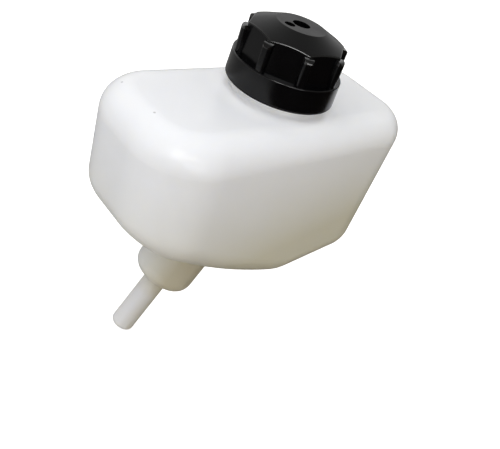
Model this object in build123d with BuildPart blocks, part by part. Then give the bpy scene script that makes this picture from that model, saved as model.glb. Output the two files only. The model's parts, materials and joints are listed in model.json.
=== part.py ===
from build123d import *
import os
from math import atan2, cos, degrees, radians, sin

# Brake fluid reservoir: a blow-moulded tank with a sloping floor and a slanted outlet,
# closed by a vented screw cap that seals on its filler neck.
# Millimetres. +Z is up along the filler neck, +X runs towards the deep end and +Y into the
# panel behind. The origin is on the flat back wall, straight behind the neck.

# Tank, measured from the neck's axis and down from the flat top
shallow_end = 62.2
deep_end = 59.7
tank_width = 55.4
shallow_height = 38.9
deep_height = 68.3
ridge_x = 10.0
ridge_drop = 5.6
shallow_corner = 21.3
deep_corner = 18.2
top_edge = 10.3
floor_edge = 12.1
ridge_round = 22.5
floor_bow = 3.3
tank_wall = 2.2
back_mount_drop = 34.0

# Filler neck
neck_radius = 16.2
neck_bore = 13.7
neck_height = 9.0
neck_root = 1.5

# Outlet on the sloping floor
outlet_x = -18.0
outlet_lean = 28.5
boss_radius = 12.5
boss_length = 25.8
boss_shoulder = 6.2
boss_root = 3.0
boss_wall = 2.2
nipple_radius = 4.8
nipple_length = 26.7
nipple_bore = 2.6
nipple_tip_round = 2.0
nipple_root = 1.0

# Screw cap
cap_gap = 3.4
skirt_radius = 20.1
skirt_top_radius = 19.75
skirt_height = 9.0
skirt_rim_round = 0.9
skirt_ledge_round = 0.35
grip_flat = 16.1
grip_foot_flat = 16.8
crown_height = 13.6
crown_drop = 2.95
disc_radius = 8.9
crown_edge_round = 0.5
lug_count = 8
lug_turn = 15.4
lug_width = 3.3
lug_radius = 19.3
lug_height = 9.4
lug_reach = 3.6
lug_round = 1.2
lug_crest = 1.5
chamber_radius = 13.0
roof_thickness = 2.3
vent_radius = 3.1
side_vent_radius = 1.85
side_vent_offset = 5.5
thread_room = 1.3

# Seal and splash baffle under the crown
gasket_thickness = 1.6
gasket_overlap = 0.4
gasket_clearance = 0.3
baffle_thickness = 1.8
baffle_ledge = 1.0
baffle_clearance = 0.08
breather_count = 4
breather_radius = 1.2
breather_circle = 9.0

# Places that the pieces share
neck_y = -tank_width / 2
tank_top = back_mount_drop
neck_rim = tank_top + neck_height
cap_seat = neck_rim + gasket_thickness
skirt_bottom = tank_top + cap_gap
skirt_top = skirt_bottom + skirt_height
crown_top = skirt_top + crown_height
skirt_bore = neck_radius + thread_room
baffle_seat_radius = chamber_radius + baffle_ledge
baffle_top = cap_seat + baffle_thickness
outlet_length = boss_length + nipple_length
sump_radius = boss_radius - boss_wall
sump_length = boss_length - boss_wall
crown_edge = crown_top - crown_drop
ridge_depth = deep_height + ridge_drop
crown_slope = crown_drop / (grip_flat - disc_radius)
grip_draft = degrees(atan2(grip_foot_flat - grip_flat, crown_edge - skirt_top))
chamber_top = crown_top - roof_thickness
lug_top = skirt_top + lug_height
floor_slope = (ridge_depth - shallow_height) / (shallow_end + ridge_x)
outlet_drop = shallow_height + (outlet_x + shallow_end) * floor_slope

neck_axis = Axis((0, neck_y, 0), (0, 0, 1))
neck_section = Plane((0, neck_y, 0), x_dir=(1, 0, 0), z_dir=(0, -1, 0))
lean_sin = sin(radians(outlet_lean))
lean_cos = cos(radians(outlet_lean))
outlet_root = (outlet_x, neck_y, tank_top - outlet_drop)
outlet_axis = Axis(outlet_root, (-lean_sin, 0, -lean_cos))
outlet_section = Plane(outlet_root, x_dir=(lean_cos, 0, -lean_sin), z_dir=(0, 1, 0))


# A flat plane square to the neck's axis
def level(height):
    return Plane((0, neck_y, height))


# The corner of a sketch that lies nearest to a given place
def nearest(sketch, x, y):
    return sketch.vertices().sort_by_distance((x, y))[0]


# True of a face that looks more down than sideways
def looks_down(face):
    normal = face.normal_at()
    return normal.Z < 0 and abs(normal.Z) > abs(normal.X) + abs(normal.Y)


# The rounded wedge of the tank, drawn in by the given distance all round
def wedge(inset):
    with BuildPart() as block:
        with BuildSketch(neck_section):
            with BuildLine():
                Polyline(
                    (-shallow_end, tank_top - shallow_height),
                    (-shallow_end, tank_top),
                    (deep_end, tank_top),
                    (deep_end, tank_top - deep_height),
                    (ridge_x, tank_top - ridge_depth),
                )
                SagittaArc(
                    (ridge_x, tank_top - ridge_depth),
                    (-shallow_end, tank_top - shallow_height),
                    floor_bow,
                )
            make_face()
            if inset:
                offset(amount=-inset, kind=Kind.INTERSECTION, mode=Mode.REPLACE)
        extrude(amount=tank_width / 2 - inset, both=True)
        fillet(block.edges().filter_by(Axis.Y).sort_by(Axis.Z)[0], ridge_round - inset)
        fillet(block.edges().filter_by(Axis.Z).group_by(Axis.X)[0], shallow_corner - inset)
        fillet(block.edges().filter_by(Axis.Z).group_by(Axis.X)[-1], deep_corner - inset)
        fillet(block.faces().sort_by(Axis.Z)[-1].edges(), top_edge - inset)
        floors = block.faces().filter_by(looks_down)
        floor_rim = [
            edge
            for edge in block.edges()
            if sum(edge in floor.edges() for floor in floors) == 1
        ]
        fillet(floor_rim, floor_edge - inset)
    return block.part


wedge_outside = wedge(0)
wedge_inside = wedge(tank_wall)

# Tank: shell, filler neck and slanted outlet in one moulding
with BuildPart() as tank:
    add(wedge_outside)
    with BuildSketch(level(tank_top - tank_wall)):
        Circle(neck_radius)
    extrude(amount=neck_height + tank_wall)
    neck_foot = tank.edges().filter_by(GeomType.CIRCLE).filter_by_position(Axis.Z, tank_top, tank_top)
    fillet(neck_foot, neck_root)
    with BuildSketch(outlet_section) as outlet_outline:
        with BuildLine():
            Polyline(
                (0, -boss_root),
                (boss_radius, -boss_root),
                (boss_radius, boss_length),
                (nipple_radius, boss_length),
                (nipple_radius, outlet_length),
                (0, outlet_length),
                close=True,
            )
        make_face()
        fillet(nearest(outlet_outline, boss_radius, boss_length), boss_shoulder)
        fillet(nearest(outlet_outline, nipple_radius, boss_length), nipple_root)
        fillet(nearest(outlet_outline, nipple_radius, outlet_length), nipple_tip_round)
    revolve(axis=outlet_axis)
    boss_foot = tank.edges(Select.NEW).sort_by_distance(outlet_root)[0]
    fillet(boss_foot, boss_root)
    add(wedge_inside, mode=Mode.SUBTRACT)
    with BuildSketch(level(tank_top - top_edge)):
        Circle(neck_bore)
    extrude(amount=top_edge + neck_height, mode=Mode.SUBTRACT)
    with BuildSketch(outlet_section) as outlet_bore:
        with BuildLine():
            Polyline(
                (0, -sump_radius),
                (sump_radius, -sump_radius),
                (sump_radius, sump_length),
                (nipple_bore, sump_length),
                (nipple_bore, outlet_length),
                (0, outlet_length),
                close=True,
            )
        make_face()
        fillet(nearest(outlet_bore, sump_radius, sump_length), boss_shoulder - boss_wall)
    revolve(axis=outlet_axis, mode=Mode.SUBTRACT)

# Lugs of the grip: upright ribs with rounded corners and a rounded outer crest
with BuildPart() as grip_lugs:
    with BuildSketch(level(skirt_top)):
        with PolarLocations(lug_radius - lug_reach / 2, lug_count, start_angle=lug_turn):
            RectangleRounded(lug_reach, lug_width, lug_round)
    extrude(amount=lug_height)
    with BuildSketch(neck_section) as lug_outline:
        with BuildLine():
            Polyline(
                (0, skirt_top),
                (lug_radius, skirt_top),
                (lug_radius, lug_top),
                (0, lug_top),
                close=True,
            )
        make_face()
        fillet(nearest(lug_outline, lug_radius, lug_top), lug_crest)
    revolve(axis=neck_axis, mode=Mode.INTERSECT)

# Grip: flats between the lugs, drawn in towards the crown and topped by a shallow turned cone
with BuildPart() as grip:
    with BuildSketch(level(skirt_top)):
        RegularPolygon(grip_foot_flat, lug_count, major_radius=False, rotation=lug_turn)
    extrude(amount=crown_height, taper=grip_draft)
    with BuildSketch(neck_section):
        with BuildLine():
            Polyline(
                (0, skirt_top),
                (skirt_radius, skirt_top),
                (skirt_radius, crown_top - (skirt_radius - disc_radius) * crown_slope),
                (disc_radius, crown_top),
                (0, crown_top),
                close=True,
            )
        make_face()
    revolve(axis=neck_axis, mode=Mode.INTERSECT)
    cone_edges = grip.faces().filter_by(GeomType.CONE)[0].edges()
    crown_rim = [edge for edge in cone_edges if edge.geom_type not in (GeomType.CIRCLE, GeomType.LINE)]
    fillet(crown_rim, crown_edge_round)

# Screw cap: slightly flared skirt, eight-sided grip with a lug on each corner, and two vents
with BuildPart() as screw_cap:
    with BuildSketch(neck_section) as skirt_outline:
        with BuildLine():
            Polyline(
                (0, skirt_bottom),
                (skirt_radius, skirt_bottom),
                (skirt_top_radius, skirt_top),
                (0, skirt_top),
                close=True,
            )
        make_face()
        fillet(nearest(skirt_outline, skirt_radius, skirt_bottom), skirt_rim_round)
        fillet(nearest(skirt_outline, skirt_top_radius, skirt_top), skirt_ledge_round)
    revolve(axis=neck_axis)
    add(grip.part)
    add(grip_lugs.part)
    with BuildSketch(neck_section):
        with BuildLine():
            Polyline(
                (0, skirt_bottom),
                (skirt_bore, skirt_bottom),
                (skirt_bore, cap_seat),
                (baffle_seat_radius, cap_seat),
                (baffle_seat_radius, baffle_top),
                (chamber_radius, baffle_top),
                (chamber_radius, chamber_top - (chamber_radius - disc_radius) * crown_slope),
                (disc_radius, chamber_top),
                (0, chamber_top),
                close=True,
            )
        make_face()
    revolve(axis=neck_axis, mode=Mode.SUBTRACT)
    with BuildSketch(level(chamber_top)):
        Circle(vent_radius)
        with Locations((-side_vent_offset, 0)):
            Circle(side_vent_radius)
    extrude(amount=roof_thickness, mode=Mode.SUBTRACT)

# Gasket: flat ring clamped between the neck's rim and the cap
with BuildPart() as cap_gasket:
    with BuildSketch(level(neck_rim)):
        Circle(skirt_bore - gasket_clearance)
        Circle(baffle_seat_radius - gasket_overlap, mode=Mode.SUBTRACT)
    extrude(amount=gasket_thickness)

# Splash baffle: disc let into the cap above the gasket, with breather holes clear of the vents
with BuildPart() as splash_baffle:
    with BuildSketch(level(cap_seat)):
        Circle(baffle_seat_radius - baffle_clearance)
        with PolarLocations(breather_circle, breather_count, start_angle=lug_turn):
            Circle(breather_radius, mode=Mode.SUBTRACT)
    extrude(amount=baffle_thickness)

tank.part.label = "tank"
screw_cap.part.label = "screw_cap"
cap_gasket.part.label = "cap_gasket"
splash_baffle.part.label = "splash_baffle"

os.makedirs("parts", exist_ok=True)
export_step(tank.part, "parts/tank.step")
export_step(screw_cap.part, "parts/screw_cap.step")
export_step(cap_gasket.part, "parts/cap_gasket.step")
export_step(splash_baffle.part, "parts/splash_baffle.step")
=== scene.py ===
import json
import math

import bmesh
import bpy
from mathutils import Matrix, Vector


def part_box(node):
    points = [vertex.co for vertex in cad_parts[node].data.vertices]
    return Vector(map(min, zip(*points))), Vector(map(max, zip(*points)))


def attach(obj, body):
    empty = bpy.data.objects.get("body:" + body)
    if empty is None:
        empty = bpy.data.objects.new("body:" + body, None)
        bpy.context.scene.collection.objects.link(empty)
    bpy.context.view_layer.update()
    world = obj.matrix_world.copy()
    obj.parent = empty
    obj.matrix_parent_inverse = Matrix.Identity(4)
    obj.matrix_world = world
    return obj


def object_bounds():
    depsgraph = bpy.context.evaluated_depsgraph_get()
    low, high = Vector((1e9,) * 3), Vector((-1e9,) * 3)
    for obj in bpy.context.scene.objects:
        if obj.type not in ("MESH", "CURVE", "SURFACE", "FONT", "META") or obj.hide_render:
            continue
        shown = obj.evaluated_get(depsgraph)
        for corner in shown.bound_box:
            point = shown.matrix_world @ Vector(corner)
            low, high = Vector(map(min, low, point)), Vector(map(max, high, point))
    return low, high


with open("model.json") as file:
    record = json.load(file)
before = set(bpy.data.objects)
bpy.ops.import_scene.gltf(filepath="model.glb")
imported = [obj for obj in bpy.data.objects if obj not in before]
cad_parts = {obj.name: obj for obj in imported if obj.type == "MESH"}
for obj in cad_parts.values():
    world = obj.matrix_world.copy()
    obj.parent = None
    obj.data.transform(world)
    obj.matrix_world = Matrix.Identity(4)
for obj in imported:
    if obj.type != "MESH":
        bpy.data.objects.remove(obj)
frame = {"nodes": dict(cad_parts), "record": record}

cadLow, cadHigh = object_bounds()
bodyTank, bodyCap = "reservoir", "cap"
tankNode = frame["nodes"]["tank"]
capNode = frame["nodes"]["screw_cap"]
gasketNode = frame["nodes"]["cap_gasket"]
baffleNode = frame["nodes"]["splash_baffle"]

jointFacts = {joint["name"]: joint for joint in frame["record"]["behaviour"]["joints"]}
neckAxis = Vector(jointFacts["cap_turn"]["pos_m"])  # the cap turns about the filler neck
outletFacts = next(mount for mount in frame["record"]["mounts"] if mount["name"] == "outlet_nipple")
outletAim = Vector(outletFacts["axis"])
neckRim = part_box("cap_gasket")[0].z
skirtFoot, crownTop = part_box("screw_cap")[0].z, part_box("screw_cap")[1].z
print("frame loaded, neck rim at", round(neckRim, 4))


# node helpers

def addNode(tree, kind, place, values=None, **settings):
    node = tree.nodes.new(kind)
    node.location = place
    for setting, value in settings.items():
        setattr(node, setting, value)
    for socket, value in (values or {}).items():
        node.inputs[socket].default_value = value
    return node


def newGroup(name, inputs, outputs):
    group = bpy.data.node_groups.new(name, "ShaderNodeTree")
    for label, kind, value in inputs:
        socket = group.interface.new_socket(name=label, in_out="INPUT", socket_type=kind)
        if value is not None:
            socket.default_value = value
    for label, kind in outputs:
        group.interface.new_socket(name=label, in_out="OUTPUT", socket_type=kind)
    start = addNode(group, "NodeGroupInput", (-900, 0))
    end = addNode(group, "NodeGroupOutput", (700, 0))
    return group, start, end


def placeGroup(tree, group, place, values=None):
    return addNode(tree, "ShaderNodeGroup", place, values, node_tree=group)


def newMaterial(name):
    material = bpy.data.materials.new(name)
    material.use_nodes = True
    tree = material.node_tree
    tree.nodes.clear()
    output = addNode(tree, "ShaderNodeOutputMaterial", (900, 0))
    shader = addNode(tree, "ShaderNodeBsdfPrincipled", (560, 0))
    coords = addNode(tree, "ShaderNodeTexCoord", (-1200, 0))
    tree.links.new(shader.outputs["BSDF"], output.inputs["Surface"])
    return material, tree, shader, coords


def bumpFrom(tree, height, shader, strength, distance, place):
    bump = addNode(tree, "ShaderNodeBump", place, {"Strength": strength, "Distance": distance})
    tree.links.new(height, bump.inputs["Height"])
    tree.links.new(bump.outputs["Normal"], shader.inputs["Normal"])


# shared effects

def makeGrainGroup():
    # fine moulded grain, with broad patches where the finish is duller
    group, start, end = newGroup(
        "mouldedGrain",
        [("Position", "NodeSocketVector", None), ("Grain Scale", "NodeSocketFloat", 900.0),
         ("Patch Scale", "NodeSocketFloat", 40.0), ("Rough Low", "NodeSocketFloat", 0.3),
         ("Rough High", "NodeSocketFloat", 0.45)],
        [("Height", "NodeSocketFloat"), ("Roughness", "NodeSocketFloat")])
    grain = addNode(group, "ShaderNodeTexNoise", (-400, 200), {"Detail": 4.0, "Roughness": 0.6})
    patch = addNode(group, "ShaderNodeTexNoise", (-400, -150), {"Detail": 3.0, "Roughness": 0.55})
    spread = addNode(group, "ShaderNodeMapRange", (0, -150), {"From Min": 0.3, "From Max": 0.7})
    links = group.links
    links.new(start.outputs["Position"], grain.inputs["Vector"])
    links.new(start.outputs["Position"], patch.inputs["Vector"])
    links.new(start.outputs["Grain Scale"], grain.inputs["Scale"])
    links.new(start.outputs["Patch Scale"], patch.inputs["Scale"])
    links.new(patch.outputs["Fac"], spread.inputs["Value"])
    links.new(start.outputs["Rough Low"], spread.inputs["To Min"])
    links.new(start.outputs["Rough High"], spread.inputs["To Max"])
    links.new(grain.outputs["Fac"], end.inputs["Height"])
    links.new(spread.outputs["Result"], end.inputs["Roughness"])
    return group


def makeCloudGroup():
    # slow cloudy drift between two colours
    group, start, end = newGroup(
        "cloudyTone",
        [("Position", "NodeSocketVector", None), ("Scale", "NodeSocketFloat", 30.0),
         ("Pale", "NodeSocketColor", (1.0, 1.0, 1.0, 1.0)),
         ("Deep", "NodeSocketColor", (0.8, 0.8, 0.8, 1.0))],
        [("Color", "NodeSocketColor")])
    cloud = addNode(group, "ShaderNodeTexNoise", (-400, 0), {"Detail": 3.0, "Roughness": 0.5})
    spread = addNode(group, "ShaderNodeMapRange", (-150, 0), {"From Min": 0.35, "From Max": 0.68})
    mix = addNode(group, "ShaderNodeMix", (200, 0), data_type="RGBA")
    links = group.links
    links.new(start.outputs["Position"], cloud.inputs["Vector"])
    links.new(start.outputs["Scale"], cloud.inputs["Scale"])
    links.new(cloud.outputs["Fac"], spread.inputs["Value"])
    links.new(spread.outputs["Result"], mix.inputs[0])
    links.new(start.outputs["Pale"], mix.inputs[6])
    links.new(start.outputs["Deep"], mix.inputs[7])
    links.new(mix.outputs[2], end.inputs["Color"])
    return group


def makeSpeckGroup():
    # one small uneven dirt speck at a given place
    group, start, end = newGroup(
        "dirtSpeck",
        [("Position", "NodeSocketVector", None), ("Place", "NodeSocketVector", None),
         ("Radius", "NodeSocketFloat", 0.0005)],
        [("Mask", "NodeSocketFloat")])
    wobble = addNode(group, "ShaderNodeTexNoise", (-650, -200), {"Scale": 2500.0, "Detail": 2.0})
    away = addNode(group, "ShaderNodeVectorMath", (-650, 100), operation="DISTANCE")
    ratio = addNode(group, "ShaderNodeMath", (-400, 100), operation="DIVIDE")
    uneven = addNode(group, "ShaderNodeMath", (-180, 50), operation="ADD")
    fade = addNode(group, "ShaderNodeMapRange", (150, 50),
                   {"From Min": 1.75, "From Max": 1.05, "To Min": 0.0, "To Max": 1.0},
                   interpolation_type="SMOOTHSTEP")
    links = group.links
    links.new(start.outputs["Position"], away.inputs[0])
    links.new(start.outputs["Place"], away.inputs[1])
    links.new(start.outputs["Position"], wobble.inputs["Vector"])
    links.new(away.outputs["Value"], ratio.inputs[0])
    links.new(start.outputs["Radius"], ratio.inputs[1])
    links.new(ratio.outputs["Value"], uneven.inputs[0])
    links.new(wobble.outputs["Fac"], uneven.inputs[1])
    links.new(uneven.outputs["Value"], fade.inputs["Value"])
    links.new(fade.outputs["Result"], end.inputs["Mask"])
    return group


grainGroup = makeGrainGroup()
cloudGroup = makeCloudGroup()
speckGroup = makeSpeckGroup()
print("shared effects ready")


# tank: milky plastic that lets some light through

tankLook = {
    "paleColor": (0.957, 0.952, 0.938, 1.0),
    "deepColor": (0.937, 0.932, 0.918, 1.0),
    "cloudScale": 26.0,
    # painted shade low down: the tank's colour turns darker and warmer towards the bottom
    "lowShadeColor": (0.61, 0.575, 0.45, 1.0),
    "lowLean": 0.20,  # the painted low shade reaches higher towards the deep end
    "lowSpan": (-0.030, 0.019),
    "neckFoot": 0.0338,
    "neckFlatness": 4.0,
    # painted light round the neck's root, lightening the shadow under the cap
    "neckPaintedLight": (0.105, 0.103, 0.099, 1.0),
    "neckSpan": (0.0275, 0.0185),
    "outletShadedSide": (0.493, -0.828, -0.267),  # painted shade: the side of the outlet that is turned from the light
    "nippleMiddle": 0.03865,  # from the root of the outlet
    # painted shade on the outlet: darker than the tank, Pale is the tone of its lit side and Deep the
    # painted shaded tone of the side turned from the light
    "bossPale": (0.70, 0.69, 0.65, 1.0),
    "bossDeep": (0.46, 0.42, 0.32, 1.0),
    "bossSpan": (0.003, 0.009),
    "bossSide": (-0.010, 0.004),
    "nipplePale": (0.66, 0.65, 0.65, 1.0),
    "nippleDeep": (0.46, 0.43, 0.37, 1.0),
    "nippleSpan": (0.027, 0.034),
    "nippleSide": (-0.001, 0.0055),
    "specks": [((-0.05369, -0.01255, 0.03296), 0.00042), ((-0.05372, -0.03176, 0.03382), 0.00042)],
    "speckColor": (0.58, 0.57, 0.55, 1.0),
    "roughness": (0.28, 0.33),
    "grainScale": 1500.0,
    "grainStrength": 0.35,
    "grainDepth": 0.00002,
    "index": 1.5,
    "specular": 0.45,
    "skinWeight": 0.3,  # thin glossy skin left by the mould
    "skinRoughness": 0.08,
    "scatterWeight": 0.7,
    "scatterRadius": (1.0, 0.92, 0.75),
    "scatterScale": 0.012,
}


def makeTankPlastic(look):
    material, tree, shader, coords = newMaterial("milkyPlastic")
    links = tree.links
    position = coords.outputs["Object"]
    cloud = placeGroup(tree, cloudGroup, (-700, 300),
                       {"Scale": look["cloudScale"], "Pale": look["paleColor"], "Deep": look["deepColor"]})
    links.new(position, cloud.inputs["Position"])

    def spanAlong(aim, start, span, row):
        # 0 to 1 between two distances from start along aim
        shifted = addNode(tree, "ShaderNodeVectorMath", (-950, row), {1: start}, operation="SUBTRACT")
        along = addNode(tree, "ShaderNodeVectorMath", (-780, row), {1: aim}, operation="DOT_PRODUCT")
        amount = addNode(tree, "ShaderNodeMapRange", (-600, row), {"From Min": span[0], "From Max": span[1]})
        links.new(position, shifted.inputs[0])
        links.new(shifted.outputs["Vector"], along.inputs[0])
        links.new(along.outputs["Value"], amount.inputs["Value"])
        return amount.outputs["Result"]

    def mixColors(amount, place, first, second):
        mix = addNode(tree, "ShaderNodeMix", place, data_type="RGBA")
        for slot, value in ((6, first), (7, second)):
            if isinstance(value, tuple):
                mix.inputs[slot].default_value = value
            else:
                links.new(value, mix.inputs[slot])
        links.new(amount, mix.inputs[0])
        return mix.outputs[2]

    # painted shade: darker and warmer low down, standing in for shade and warm bounce light; the outlet is
    # painted darker too, with a painted shaded side turned from the light
    low = spanAlong((look["lowLean"], 0.0, -1.0), (0.0, 0.0, 0.0), look["lowSpan"], -100)
    color = mixColors(low, (-450, 200), cloud.outputs["Color"], look["lowShadeColor"])
    outletRoot = Vector(outletFacts["pos_m"]) - outletAim * look["nippleMiddle"]
    # the boss and nipple are painted with a lit tone and a painted shaded tone across them
    for index, part in enumerate(("boss", "nipple")):
        row = -300 - 400 * index
        turned = spanAlong(look["outletShadedSide"], outletRoot, look[part + "Side"], row)
        side = mixColors(turned, (-450, row), look[part + "Pale"], look[part + "Deep"])
        along = spanAlong(outletAim, outletRoot, look[part + "Span"], row - 200)
        color = mixColors(along, (-300 + 120 * index, 200), color, side)

    # painted light: a faint glow round the root of the neck, under the cap, lightens the shadow the cap
    # casts there
    flatness = look["neckFlatness"]
    root = addNode(tree, "ShaderNodeVectorMath", (-950, -600),
                   {1: (1.0, 1.0, flatness), 2: (-neckAxis.x, -neckAxis.y, -flatness * look["neckFoot"])},
                   operation="MULTIPLY_ADD")
    away = addNode(tree, "ShaderNodeVectorMath", (-780, -600), operation="LENGTH")
    amount = addNode(tree, "ShaderNodeMapRange", (-600, -600),
                     {"From Min": look["neckSpan"][0], "From Max": look["neckSpan"][1]},
                     interpolation_type="SMOOTHSTEP")
    paintedNeckLight = addNode(tree, "ShaderNodeMix", (-50, 400), {6: (0.0, 0.0, 0.0, 1.0), 7: look["neckPaintedLight"]},
                      data_type="RGBA")
    links.new(position, root.inputs[0])
    links.new(root.outputs["Vector"], away.inputs[0])
    links.new(away.outputs["Value"], amount.inputs["Value"])
    links.new(amount.outputs["Result"], paintedNeckLight.inputs[0])
    links.new(paintedNeckLight.outputs[2], shader.inputs["Emission Color"])
    shader.inputs["Emission Strength"].default_value = 1.0

    for index, (place, radius) in enumerate(look["specks"]):
        speck = placeGroup(tree, speckGroup, (-300, -250 - 200 * index), {"Place": place, "Radius": radius})
        links.new(position, speck.inputs["Position"])
        color = mixColors(speck.outputs["Mask"], (-60 + 180 * index, 200), color, look["speckColor"])

    grain = placeGroup(tree, grainGroup, (0, -250),
                       {"Grain Scale": look["grainScale"], "Rough Low": look["roughness"][0],
                        "Rough High": look["roughness"][1]})
    links.new(position, grain.inputs["Position"])
    links.new(color, shader.inputs["Base Color"])
    links.new(grain.outputs["Roughness"], shader.inputs["Roughness"])
    bumpFrom(tree, grain.outputs["Height"], shader, look["grainStrength"], look["grainDepth"], (300, -350))
    shader.inputs["IOR"].default_value = look["index"]
    shader.inputs["Specular IOR Level"].default_value = look["specular"]
    shader.inputs["Coat Weight"].default_value = look["skinWeight"]
    shader.inputs["Coat Roughness"].default_value = look["skinRoughness"]
    shader.inputs["Subsurface Weight"].default_value = look["scatterWeight"]
    shader.inputs["Subsurface Radius"].default_value = look["scatterRadius"]
    shader.inputs["Subsurface Scale"].default_value = look["scatterScale"]
    return material


tankPlastic = makeTankPlastic(tankLook)
tankNode.material_slots[0].material = tankPlastic
print("tank finished")


# cap: black moulding, matt on the crown and glossy on the skirt

capLook = {
    # the crown's disc and cone are painted lighter than the skirt: partly their matt finish, partly painted
    # light from above
    "discColor": (0.0055, 0.0055, 0.0055, 1.0),
    "coneColor": (0.0022, 0.0022, 0.0023, 1.0),
    "sideColor": (0.0010, 0.0010, 0.0014, 1.0),
    "discRadius": 0.0089,
    "discFade": (0.0002, -0.0001),
    "coneRun": 0.01,  # the cone falls over this width outside the disc
    "crownSlope": 0.41,
    "crownBand": (0.00006, 0.0002),  # depths below the cone between which the matt finish ends
    "sideRoughness": 0.2,
    "crownRoughness": 0.32,
    "patchRoughness": (-0.04, 0.05),
    "patchScale": 120.0,
    "rimBand": (0.0011, 0.0006),
    "rimRoughness": 0.6,
    "edgeRoughness": 0.15,
    "edgeIndex": 1.9,
    "crownEdge": (0.00018, 0.00017),  # below the cone: middle and half width
    "ledgeBand": (0.0137, 0.0003, 0.0193),  # below the top: middle and half width, then the least reach
    "ledgeGloss": 0.5,
    "crestBand": (0.0048, 0.0009, 0.0170),
    "crestGloss": 1.0,
    "grainScale": 2600.0,
    "grainStrength": 0.5,
    "grainDepth": 0.00004,
    "index": 1.5,
    "specular": 0.34,
}


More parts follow.
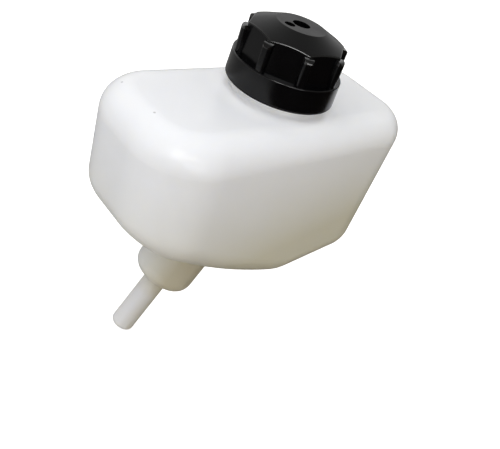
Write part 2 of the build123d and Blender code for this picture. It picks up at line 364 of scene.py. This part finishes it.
def makeCapPlastic(look):
    material, tree, shader, coords = newMaterial("blackMoulding")
    links = tree.links
    position = coords.outputs["Object"]
    axes = addNode(tree, "ShaderNodeSeparateXYZ", (-1300, -250))
    links.new(position, axes.inputs["Vector"])
    across = addNode(tree, "ShaderNodeVectorMath", (-1300, 150),
                     {1: (1.0, 1.0, 0.0), 2: (-neckAxis.x, -neckAxis.y, 0.0)}, operation="MULTIPLY_ADD")
    reach = addNode(tree, "ShaderNodeVectorMath", (-1120, 150), operation="LENGTH")
    links.new(position, across.inputs[0])
    links.new(across.outputs["Vector"], reach.inputs[0])

    # how far a point lies below the turned cone of the crown
    fall = addNode(tree, "ShaderNodeMapRange", (-940, 150),
                   {"From Min": look["discRadius"], "From Max": look["discRadius"] + look["coneRun"],
                    "To Min": crownTop, "To Max": crownTop - look["coneRun"] * look["crownSlope"]})
    below = addNode(tree, "ShaderNodeMath", (-760, 50), operation="SUBTRACT")
    links.new(reach.outputs["Value"], fall.inputs["Value"])
    links.new(fall.outputs["Result"], below.inputs[0])
    links.new(axes.outputs["Z"], below.inputs[1])
    crown = addNode(tree, "ShaderNodeMapRange", (-580, 100),
                    {"From Min": look["crownBand"][1], "From Max": look["crownBand"][0]})
    links.new(below.outputs["Value"], crown.inputs["Value"])
    inside = addNode(tree, "ShaderNodeMapRange", (-760, -150),
                     {"From Min": look["discRadius"] + look["discFade"][0],
                      "From Max": look["discRadius"] + look["discFade"][1]})
    disc = addNode(tree, "ShaderNodeMath", (-580, -150), operation="MULTIPLY")
    links.new(reach.outputs["Value"], inside.inputs["Value"])
    links.new(inside.outputs["Result"], disc.inputs[0])
    links.new(crown.outputs["Result"], disc.inputs[1])
    coneMix = addNode(tree, "ShaderNodeMix", (-400, 200),
                      {6: look["sideColor"], 7: look["coneColor"]}, data_type="RGBA")
    discMix = addNode(tree, "ShaderNodeMix", (-150, 200), {7: look["discColor"]}, data_type="RGBA")
    links.new(crown.outputs["Result"], coneMix.inputs[0])
    links.new(disc.outputs["Value"], discMix.inputs[0])
    links.new(coneMix.outputs[2], discMix.inputs[6])

    grain = placeGroup(tree, grainGroup, (-400, -300),
                       {"Grain Scale": look["grainScale"], "Patch Scale": look["patchScale"],
                        "Rough Low": look["patchRoughness"][0], "Rough High": look["patchRoughness"][1]})
    links.new(position, grain.inputs["Position"])
    roughBase = addNode(tree, "ShaderNodeMapRange", (-400, 0),
                        {"To Min": look["sideRoughness"], "To Max": look["crownRoughness"]})
    links.new(crown.outputs["Result"], roughBase.inputs["Value"])
    rough = addNode(tree, "ShaderNodeMath", (-100, -50), operation="ADD")
    links.new(roughBase.outputs["Result"], rough.inputs[0])
    links.new(grain.outputs["Roughness"], rough.inputs[1])
    # the rounded foot of the skirt is dull
    foot = addNode(tree, "ShaderNodeMapRange", (-100, -150),
                   {"From Min": skirtFoot + look["rimBand"][0], "From Max": skirtFoot + look["rimBand"][1],
                    "To Max": look["rimRoughness"]})
    dull = addNode(tree, "ShaderNodeMath", (80, -80), operation="ADD")
    links.new(axes.outputs["Z"], foot.inputs["Value"])
    links.new(rough.outputs["Value"], dull.inputs[0])
    links.new(foot.outputs["Result"], dull.inputs[1])
    height = addNode(tree, "ShaderNodeMath", (-100, -300), operation="MULTIPLY")
    links.new(grain.outputs["Height"], height.inputs[0])
    links.new(roughBase.outputs["Result"], height.inputs[1])
    links.new(discMix.outputs[2], shader.inputs["Base Color"])
    links.new(dull.outputs["Value"], shader.inputs["Roughness"])
    bumpFrom(tree, height.outputs["Value"], shader, look["grainStrength"], look["grainDepth"], (250, -300))

    # rounded edges are polished: crown edge, ledge of the skirt and crests of the lugs
    edge = addNode(tree, "ShaderNodeMath", (-400, 500),
                   {1: look["crownEdge"][0], 2: look["crownEdge"][1]}, operation="COMPARE")
    links.new(below.outputs["Value"], edge.inputs[0])
    for index, part in enumerate(("ledge", "crest")):
        middle, halfWidth, leastReach = look[part + "Band"]
        row = 500 + 180 * index
        near = addNode(tree, "ShaderNodeMath", (-760, row),
                       {1: crownTop - middle, 2: halfWidth}, operation="COMPARE")
        outer = addNode(tree, "ShaderNodeMath", (-760, row + 180), {1: leastReach}, operation="GREATER_THAN")
        gloss = addNode(tree, "ShaderNodeMath", (-580, row), {1: look[part + "Gloss"]}, operation="MULTIPLY")
        band = addNode(tree, "ShaderNodeMath", (-400, row + 180), operation="MULTIPLY")
        join = addNode(tree, "ShaderNodeMath", (-200, row), operation="MAXIMUM")
        links.new(axes.outputs["Z"], near.inputs[0])
        links.new(reach.outputs["Value"], outer.inputs[0])
        links.new(near.outputs["Value"], gloss.inputs[0])
        links.new(gloss.outputs["Value"], band.inputs[0])
        links.new(outer.outputs["Value"], band.inputs[1])
        links.new(edge.outputs["Value"], join.inputs[0])
        links.new(band.outputs["Value"], join.inputs[1])
        edge = join
    links.new(edge.outputs["Value"], shader.inputs["Coat Weight"])
    shader.inputs["Coat Roughness"].default_value = look["edgeRoughness"]
    shader.inputs["Coat IOR"].default_value = look["edgeIndex"]
    shader.inputs["IOR"].default_value = look["index"]
    shader.inputs["Specular IOR Level"].default_value = look["specular"]
    return material


capPlastic = makeCapPlastic(capLook)
capNode.material_slots[0].material = capPlastic
print("cap finished")


# gasket and baffle

gasketLook = {
    "pale": (0.030, 0.030, 0.030, 1.0),
    "deep": (0.018, 0.018, 0.018, 1.0),
    "cloudScale": 90.0,
    "roughness": (0.6, 0.8),
    "grainScale": 3000.0,
    "grainStrength": 0.4,
    "grainDepth": 0.00004,
}
baffleLook = {
    "pale": (0.62, 0.61, 0.57, 1.0),
    "deep": (0.54, 0.53, 0.49, 1.0),
    "cloudScale": 90.0,
    "roughness": (0.4, 0.55),
    "grainScale": 1800.0,
    "grainStrength": 0.4,
    "grainDepth": 0.00003,
}


def makePlainFinish(name, look):
    material, tree, shader, coords = newMaterial(name)
    cloud = placeGroup(tree, cloudGroup, (-500, 200),
                       {"Scale": look["cloudScale"], "Pale": look["pale"], "Deep": look["deep"]})
    grain = placeGroup(tree, grainGroup, (-500, -150),
                       {"Grain Scale": look["grainScale"], "Rough Low": look["roughness"][0],
                        "Rough High": look["roughness"][1]})
    for group in (cloud, grain):
        tree.links.new(coords.outputs["Object"], group.inputs["Position"])
    tree.links.new(cloud.outputs["Color"], shader.inputs["Base Color"])
    tree.links.new(grain.outputs["Roughness"], shader.inputs["Roughness"])
    bumpFrom(tree, grain.outputs["Height"], shader, look["grainStrength"], look["grainDepth"], (200, -250))
    return material


gasketNode.material_slots[0].material = makePlainFinish("gasketRubber", gasketLook)
baffleNode.material_slots[0].material = makePlainFinish("bafflePlastic", baffleLook)
print("gasket and baffle finished")


# screw thread: a ridge on the neck, and its partner inside the cap

threadShape = {
    "lead": 0.0035,
    "rootWidth": 0.0016,
    "crestWidth": 0.0007,
    "stepsPerTurn": 96,
    "runOut": 0.12,  # share of the ridge that fades out at each end
    "leastRise": 0.03,  # share of the rise that is left at the tips
    "bevelWidth": 0.00018,
    "bevelSegments": 2,
    "bevelDegrees": 35.0,
}
neckRidge = {"root": 0.0161, "crest": 0.0171, "start": 0.0368, "turns": 1.45}
capRidge = {"root": 0.0176, "crest": 0.01665, "start": 0.0383, "turns": 1.1}


def makeThread(name, ridge, startTurn, shape, body, material):
    # trapezoid ridge wound round the neck's axis, fading out at both ends
    mesh = bpy.data.meshes.new(name)
    build = bmesh.new()
    root, turns = ridge["root"], ridge["turns"]
    steps = int(turns * shape["stepsPerTurn"])
    rings = []
    for step in range(steps + 1):
        along = step / steps
        angle = 2 * math.pi * (startTurn + turns * along)
        height = ridge["start"] + shape["lead"] * turns * along
        fade = min(1.0, along / shape["runOut"], (1 - along) / shape["runOut"])
        fade = max(shape["leastRise"], fade * fade * (3 - 2 * fade))
        top = root + (ridge["crest"] - root) * fade
        profile = [(root, -shape["rootWidth"] / 2), (top, -shape["crestWidth"] / 2),
                   (top, shape["crestWidth"] / 2), (root, shape["rootWidth"] / 2)]
        rings.append([build.verts.new((neckAxis.x + radius * math.cos(angle),
                                       neckAxis.y + radius * math.sin(angle), height + rise))
                      for radius, rise in profile])
    for ringA, ringB in zip(rings, rings[1:]):
        for corner in range(4):
            follow = (corner + 1) % 4
            build.faces.new((ringA[corner], ringB[corner], ringB[follow], ringA[follow]))
    build.faces.new(rings[0])
    build.faces.new(list(reversed(rings[-1])))
    bmesh.ops.recalc_face_normals(build, faces=build.faces)
    build.to_mesh(mesh)
    build.free()
    piece = bpy.data.objects.new(name, mesh)
    bpy.context.collection.objects.link(piece)
    bevel = piece.modifiers.new("soften", "BEVEL")
    bevel.width = shape["bevelWidth"]
    bevel.segments = shape["bevelSegments"]
    bevel.limit_method = "ANGLE"
    bevel.angle_limit = math.radians(shape["bevelDegrees"])
    for face in mesh.polygons:
        face.use_smooth = True
    mesh.materials.append(material)
    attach(piece, body)


makeThread("neck_thread", neckRidge, 0.0, threadShape, bodyTank, tankPlastic)
# the cap's ridge winds half a lead away from the neck's
capStartTurn = (capRidge["start"] - neckRidge["start"]) / threadShape["lead"] - 0.5
makeThread("cap_thread", capRidge, capStartTurn, threadShape, bodyCap, capPlastic)
print("threads finished")


# stage: pale floor, bright surroundings, soft lights

stageLook = {
    "floorSize": 6.0,
    "floorDrop": 0.0005,
    "floorColor": (0.80, 0.80, 0.79, 1.0),
    "bounceBright": (0.62, 0.62, 0.62, 1.0),
    "bounceDark": (0.46, 0.41, 0.33, 1.0),
    "glossBright": (0.28, 0.28, 0.28, 1.0),
    "glossDark": (0.025, 0.02, 0.015, 1.0),
    "bounceToward": (-0.5, 0.86, 0.0),
    "bounceSpan": (-0.07, 0.05),
    "floorGlow": 0.72,
    "skyBright": (0.752, 0.745, 0.730, 1.0),
    "skyDim": (0.355, 0.345, 0.321, 1.0),
    "skyToward": (-0.45, -0.45, 0.77),
    "skySpan": (-0.6, 0.9),
    "windowBright": (0.58, 0.58, 0.58, 1.0),
    "windowDim": (0.10, 0.098, 0.093, 1.0),
    "windowToward": (0.50, 0.80, 0.10),
    "windowSpan": (0.3, 0.95),
}
softLights = {
    "keyBox": {"place": (-0.27, -0.22, 0.82), "aim": (0.0, -0.03, 0.02),
               "size": (0.5, 0.5), "power": 2.06, "glossy": False},
    "leftLamp": {"place": (-0.555, 0.007, 0.45), "aim": (-0.02, -0.03, 0.0),
                 "size": (0.3, 0.3), "power": 1.0, "glossy": False},
    "backBox": {"place": (-0.04, 0.44, 0.69), "aim": (-0.01, -0.03, 0.02),
                "size": (0.3, 0.3), "power": 1.16, "glossy": False},
    "frontFill": {"place": (-0.30, -0.95, 0.22), "aim": (-0.02, -0.03, 0.0),
                  "size": (0.6, 0.4), "power": 1.41},
    "frontLamp": {"place": (-0.224, -0.476, 0.416), "aim": (-0.05, -0.05, 0.03),
                  "size": (0.22, 0.07), "power": 0.3},
    "edgeStrip": {"place": (-0.538, -0.433, 0.574), "aim": (-0.03, -0.05, 0.04),
                  "size": (0.26, 0.45), "power": 1.6, "diffuse": False},
}


def makeFloor(look):
    half = look["floorSize"] / 2
    height = cadLow.z - look["floorDrop"]
    corners = [(x * half, y * half, height) for x, y in ((-1, -1), (1, -1), (1, 1), (-1, 1))]
    mesh = bpy.data.meshes.new("floor")
    mesh.from_pydata(corners, [], [(0, 1, 2, 3)])
    floor = bpy.data.objects.new("floor", mesh)
    bpy.context.collection.objects.link(floor)
    material = bpy.data.materials.new("paleFloor")
    material.use_nodes = True
    tree = material.node_tree
    tree.nodes.clear()
    links = tree.links
    output = addNode(tree, "ShaderNodeOutputMaterial", (600, 0))
    path = addNode(tree, "ShaderNodeLightPath", (-200, 450))

    # what the camera sees: matt and nearly white
    matt = addNode(tree, "ShaderNodeBsdfDiffuse", (0, 100), {"Color": look["floorColor"]})
    glow = addNode(tree, "ShaderNodeEmission", (0, -100),
                   {"Color": (1, 1, 1, 1), "Strength": look["floorGlow"]})
    both = addNode(tree, "ShaderNodeAddShader", (200, 0))
    links.new(matt.outputs[0], both.inputs[0])
    links.new(glow.outputs[0], both.inputs[1])

    # what it throws back: darker on one side, and darker still in reflections
    coords = addNode(tree, "ShaderNodeTexCoord", (-800, 200))
    toward = addNode(tree, "ShaderNodeVectorMath", (-600, 200), {1: look["bounceToward"]},
                     operation="DOT_PRODUCT")
    across = addNode(tree, "ShaderNodeMapRange", (-400, 200),
                     {"From Min": look["bounceSpan"][0], "From Max": look["bounceSpan"][1]},
                     interpolation_type="SMOOTHSTEP")
    tone = addNode(tree, "ShaderNodeMix", (-200, 200),
                   {6: look["bounceDark"], 7: look["bounceBright"]}, data_type="RGBA")
    sheen = addNode(tree, "ShaderNodeMix", (-200, 0),
                    {6: look["glossDark"], 7: look["glossBright"]}, data_type="RGBA")
    thrown = addNode(tree, "ShaderNodeMix", (0, 500), data_type="RGBA")
    bounce = addNode(tree, "ShaderNodeBsdfDiffuse", (200, 200))
    links.new(coords.outputs["Object"], toward.inputs[0])
    links.new(toward.outputs["Value"], across.inputs["Value"])
    links.new(across.outputs["Result"], tone.inputs[0])
    links.new(across.outputs["Result"], sheen.inputs[0])
    links.new(path.outputs["Is Glossy Ray"], thrown.inputs[0])
    links.new(tone.outputs[2], thrown.inputs[6])
    links.new(sheen.outputs[2], thrown.inputs[7])
    links.new(thrown.outputs[2], bounce.inputs["Color"])

    pick = addNode(tree, "ShaderNodeMixShader", (400, 0))
    links.new(path.outputs["Is Camera Ray"], pick.inputs[0])
    links.new(bounce.outputs[0], pick.inputs[1])
    links.new(both.outputs[0], pick.inputs[2])
    links.new(pick.outputs[0], output.inputs["Surface"])
    mesh.materials.append(material)


def makeSurroundings(look):
    # white where the camera looks past the floor, a soft sky for the light, and for reflections
    # a dim room with bright windows behind
    world = bpy.data.worlds.new("studio")
    bpy.context.scene.world = world
    world.use_nodes = True
    world.cycles.sampling_method = "NONE"
    tree = world.node_tree
    tree.nodes.clear()
    output = addNode(tree, "ShaderNodeOutputWorld", (900, 0))
    coords = addNode(tree, "ShaderNodeTexCoord", (-800, 0))
    path = addNode(tree, "ShaderNodeLightPath", (-150, 400))
    tones = []
    for index, part in enumerate(("sky", "window")):
        toward = Vector(look[part + "Toward"]).normalized()
        lean = addNode(tree, "ShaderNodeVectorMath", (-600, -250 * index), {1: toward},
                       operation="DOT_PRODUCT")
        spread = addNode(tree, "ShaderNodeMapRange", (-400, -250 * index),
                         {"From Min": look[part + "Span"][0], "From Max": look[part + "Span"][1]},
                         interpolation_type="SMOOTHSTEP")
        mix = addNode(tree, "ShaderNodeMix", (-150, -250 * index),
                      {6: look[part + "Dim"], 7: look[part + "Bright"]}, data_type="RGBA")
        tree.links.new(coords.outputs["Generated"], lean.inputs[0])
        tree.links.new(lean.outputs["Value"], spread.inputs["Value"])
        tree.links.new(spread.outputs["Result"], mix.inputs[0])
        tones.append(mix.outputs[2])
    tone = addNode(tree, "ShaderNodeMix", (100, 0), data_type="RGBA")
    tree.links.new(path.outputs["Is Glossy Ray"], tone.inputs[0])
    tree.links.new(tones[0], tone.inputs[6])
    tree.links.new(tones[1], tone.inputs[7])
    dome = addNode(tree, "ShaderNodeBackground", (350, 100))
    white = addNode(tree, "ShaderNodeBackground", (350, -100), {"Color": (1, 1, 1, 1), "Strength": 1.0})
    pick = addNode(tree, "ShaderNodeMixShader", (650, 0))
    tree.links.new(tone.outputs[2], dome.inputs["Color"])
    tree.links.new(path.outputs["Is Camera Ray"], pick.inputs[0])
    tree.links.new(dome.outputs[0], pick.inputs[1])
    tree.links.new(white.outputs[0], pick.inputs[2])
    tree.links.new(pick.outputs[0], output.inputs["Surface"])


def makeLight(name, look):
    data = bpy.data.lights.new(name, "AREA")
    data.shape = "RECTANGLE"
    data.size, data.size_y = look["size"]
    data.energy = look["power"]
    lamp = bpy.data.objects.new(name, data)
    bpy.context.collection.objects.link(lamp)
    lamp.visible_glossy = look.get("glossy", True)
    lamp.visible_diffuse = look.get("diffuse", True)
    lamp.location = look["place"]
    lamp.rotation_euler = (Vector(look["aim"]) - Vector(look["place"])).to_track_quat("-Z", "Y").to_euler()


makeFloor(stageLook)
makeSurroundings(stageLook)
for lightName, lightLook in softLights.items():
    makeLight(lightName, lightLook)
print("stage and lights ready")


# camera, rolled as the object leans in its picture

cameraLook = {
    "place": (-0.14497, -0.14953, 0.11481),
    "aim": (-0.00335, -0.04154, -0.01605),
    "rollDegrees": 22.0,
    "lens": 40.216,
    "sensor": 36.0,
    "clipStart": 0.01,
}


def makeCamera(look):
    data = bpy.data.cameras.new("camera")
    data.lens = look["lens"]
    data.sensor_width = look["sensor"]
    data.clip_start = look["clipStart"]
    camera = bpy.data.objects.new("camera", data)
    bpy.context.collection.objects.link(camera)
    facing = (Vector(look["aim"]) - Vector(look["place"])).to_track_quat("-Z", "Y").to_matrix().to_4x4()
    roll = Matrix.Rotation(math.radians(look["rollDegrees"]), 4, "Z")
    camera.matrix_world = Matrix.Translation(look["place"]) @ facing @ roll
    bpy.context.scene.camera = camera


makeCamera(cameraLook)
bpy.context.scene.view_settings.view_transform = "Standard"
print("camera ready")
